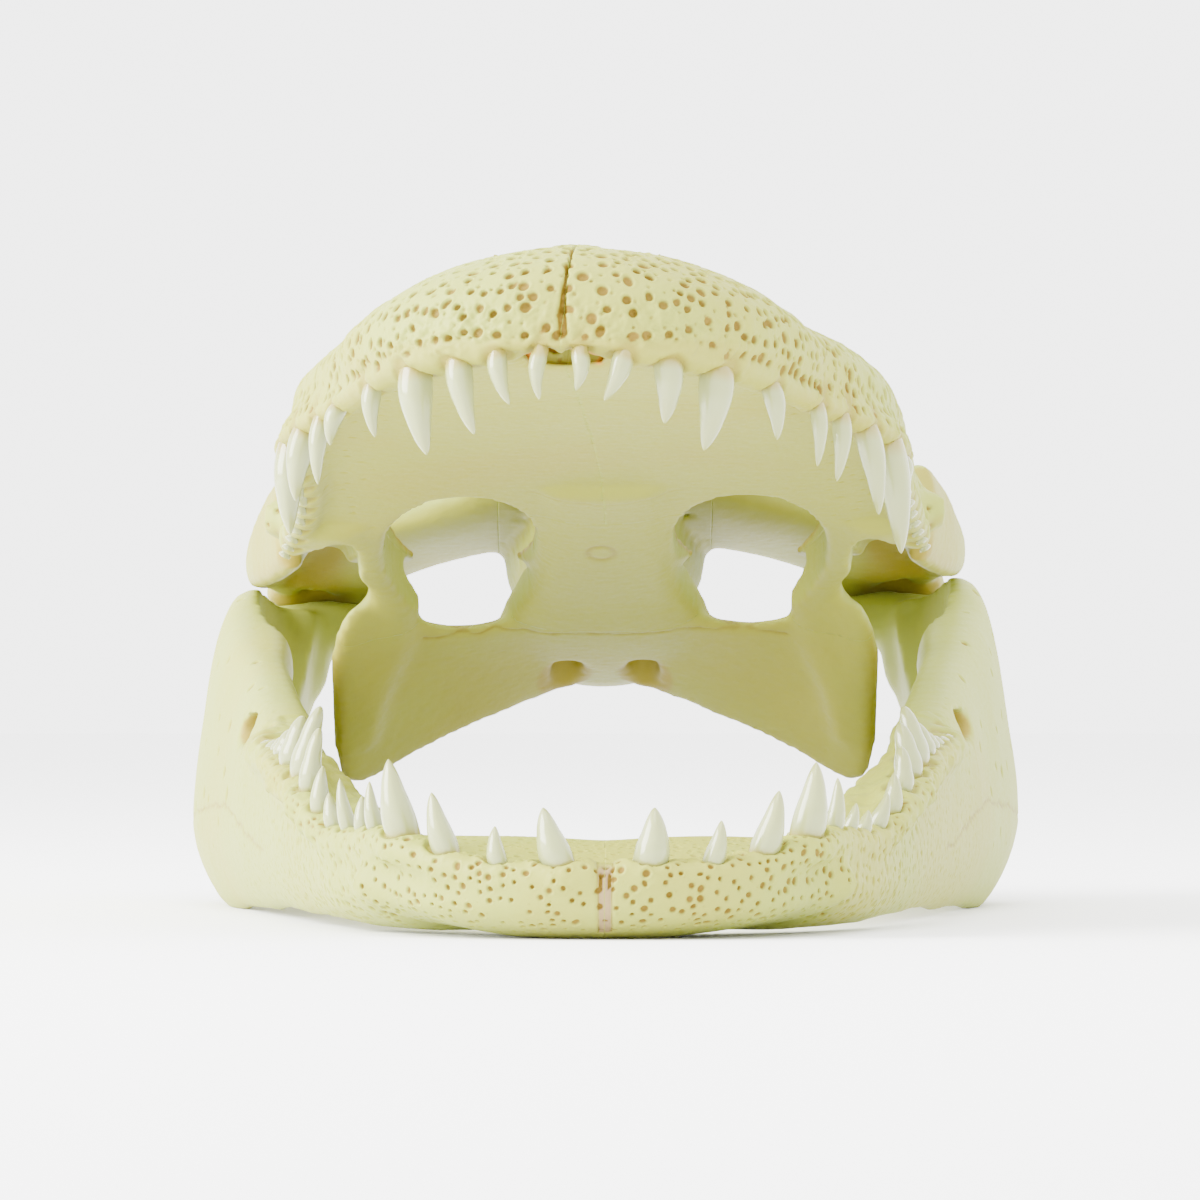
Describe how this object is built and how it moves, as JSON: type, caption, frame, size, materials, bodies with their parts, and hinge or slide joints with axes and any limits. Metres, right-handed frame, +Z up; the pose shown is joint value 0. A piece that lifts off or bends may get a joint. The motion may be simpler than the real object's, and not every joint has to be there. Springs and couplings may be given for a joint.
{
  "type": "alligator skull",
  "caption": "Life-size adult alligator skull with open jaws, resting on its lower jaw.",
  "frame": {"origin": "on the floor plane, midway between the two halves of the lower jaw and halfway along the lower jaw", "axes": "+X to the right in the picture, +Y from the snout to the back of the skull, +Z up from the floor the lower jaw rests on"},
  "size_m": [0.2312, 0.4533, 0.1706],
  "materials": {
    "bone": "dry bleached bone, satin, pale cream",
    "enamel": "smooth ivory enamel"
  },
  "bodies": {
    "root": {"braincase": "bone", "dentary_left": "bone", "dentary_right": "bone", "ectopterygoid_left": "bone", "ectopterygoid_right": "bone", "frontal": "bone", "jugal_left": "bone", "jugal_right": "bone", "maxilla_left": "bone", "maxilla_right": "bone", "palatines": "bone", "premaxilla_left": "bone", "premaxilla_right": "bone", "pterygoids": "bone", "quadrate_left": "bone", "quadrate_right": "bone", "skull_table": "bone", "surangular_left": "bone", "surangular_right": "bone"}
  },
  "joints": []
}
